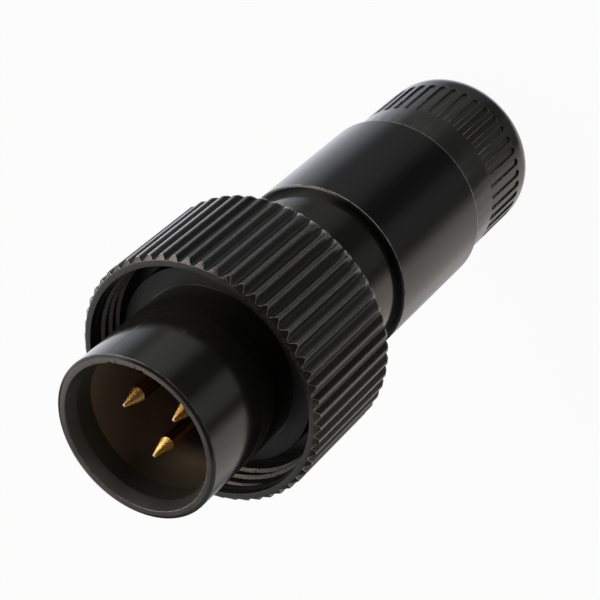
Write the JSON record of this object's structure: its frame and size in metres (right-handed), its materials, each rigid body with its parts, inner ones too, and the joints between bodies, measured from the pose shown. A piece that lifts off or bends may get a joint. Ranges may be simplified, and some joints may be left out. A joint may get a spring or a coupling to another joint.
{
  "type": "miniature round connector plug",
  "caption": "Miniature round screw-locking plug: keyed mouth sleeve with pointed contact pins, ribbed coupling nut, smooth barrel and a fluted rear cap with a cable hole.",
  "frame": {"origin": "centre of the flat rear end around the cable hole, which the plug stands on", "axes": "+Z along the plug axis from the cable end to the mouth, -Y towards the keyway in the mouth"},
  "size_m": [0.0154, 0.0154, 0.0372],
  "materials": {
    "gloss_black_plate": "turned brass with a glossy black plating, fine turning lines, bright at the sharp edges",
    "satin_black_plate": "turned brass with a satin black plating and fine lines around the barrel",
    "ribbed_black_plate": "milled brass with a black plating, worn bright along the rib crests",
    "gold_plate": "gold plated, polished",
    "nickel_plate": "turned, nickel plated",
    "brown_moulding": "dark moulded resin, satin",
    "pale_tube": "pale extruded plastic",
    "black_rubber": "matt",
    "black_nylon": "moulded nylon, satin"
  },
  "bodies": {
    "plug_body": {"front_shell": "gloss_black_plate", "contact_insert": "brown_moulding", "contact_pin_1": "gold_plate", "contact_pin_2": "gold_plate", "contact_pin_3": "gold_plate", "insert_ring": "nickel_plate", "insulating_tube": "pale_tube", "barrel": "satin_black_plate"},
    "nut_carrier": {"friction_ring": "black_rubber"},
    "nut": {"coupling_nut": "ribbed_black_plate"},
    "clamp": {"cable_clamp": "black_nylon"},
    "cap": {"rear_cap": "gloss_black_plate"}
  },
  "joints": [
    {"name": "nut_slide", "type": "slide", "parent": "plug_body", "child": "nut_carrier", "axis": [0, 0, 1], "range_m": [-0.0053, 0]},
    {"name": "nut_turn", "type": "hinge", "parent": "nut_carrier", "child": "nut", "pos_m": [0, 0, 0.0258], "axis": [0, 0, 1], "continuous": true},
    {"name": "cap_travel", "type": "slide", "parent": "plug_body", "child": "clamp", "axis": [0, 0, -1], "range_m": [0, 0.00225]},
    {"name": "cap_turn", "type": "hinge", "parent": "clamp", "child": "cap", "pos_m": [0, 0, 0.0043], "axis": [0, 0, -1], "range_deg": [0, 1080]}
  ],
  "couplings": [
    {"joint": "cap_travel", "follows": "cap_turn", "m_per_rad": 0.00011937}
  ]
}
